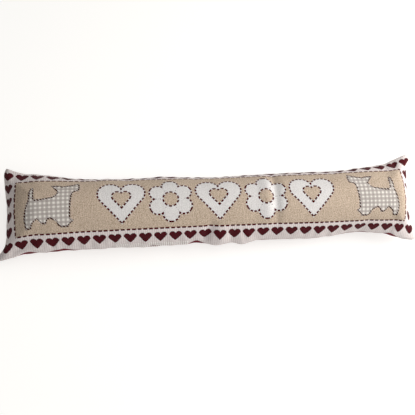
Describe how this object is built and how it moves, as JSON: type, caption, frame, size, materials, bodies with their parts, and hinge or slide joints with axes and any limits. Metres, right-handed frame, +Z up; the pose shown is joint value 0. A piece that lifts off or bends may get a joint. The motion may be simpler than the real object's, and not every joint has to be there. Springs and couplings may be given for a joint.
{
  "type": "draught excluder",
  "caption": "Long narrow filled cushion that lies along the foot of a door to stop draughts, with a crowned face, drawn-in sides and corners that stand out as ears.",
  "frame": {"origin": "on the floor, under the middle of the cushion's box", "axes": "+X along the length, +Y towards the upper edge of the face's pattern, +Z up, out of the face"},
  "size_m": [0.9074, 0.1926, 0.1101],
  "materials": {
    "cover": "woven tapestry in natural, white and dark red yarns, matt"
  },
  "bodies": {
    "root": {"filled_cover": "cover"}
  },
  "joints": []
}
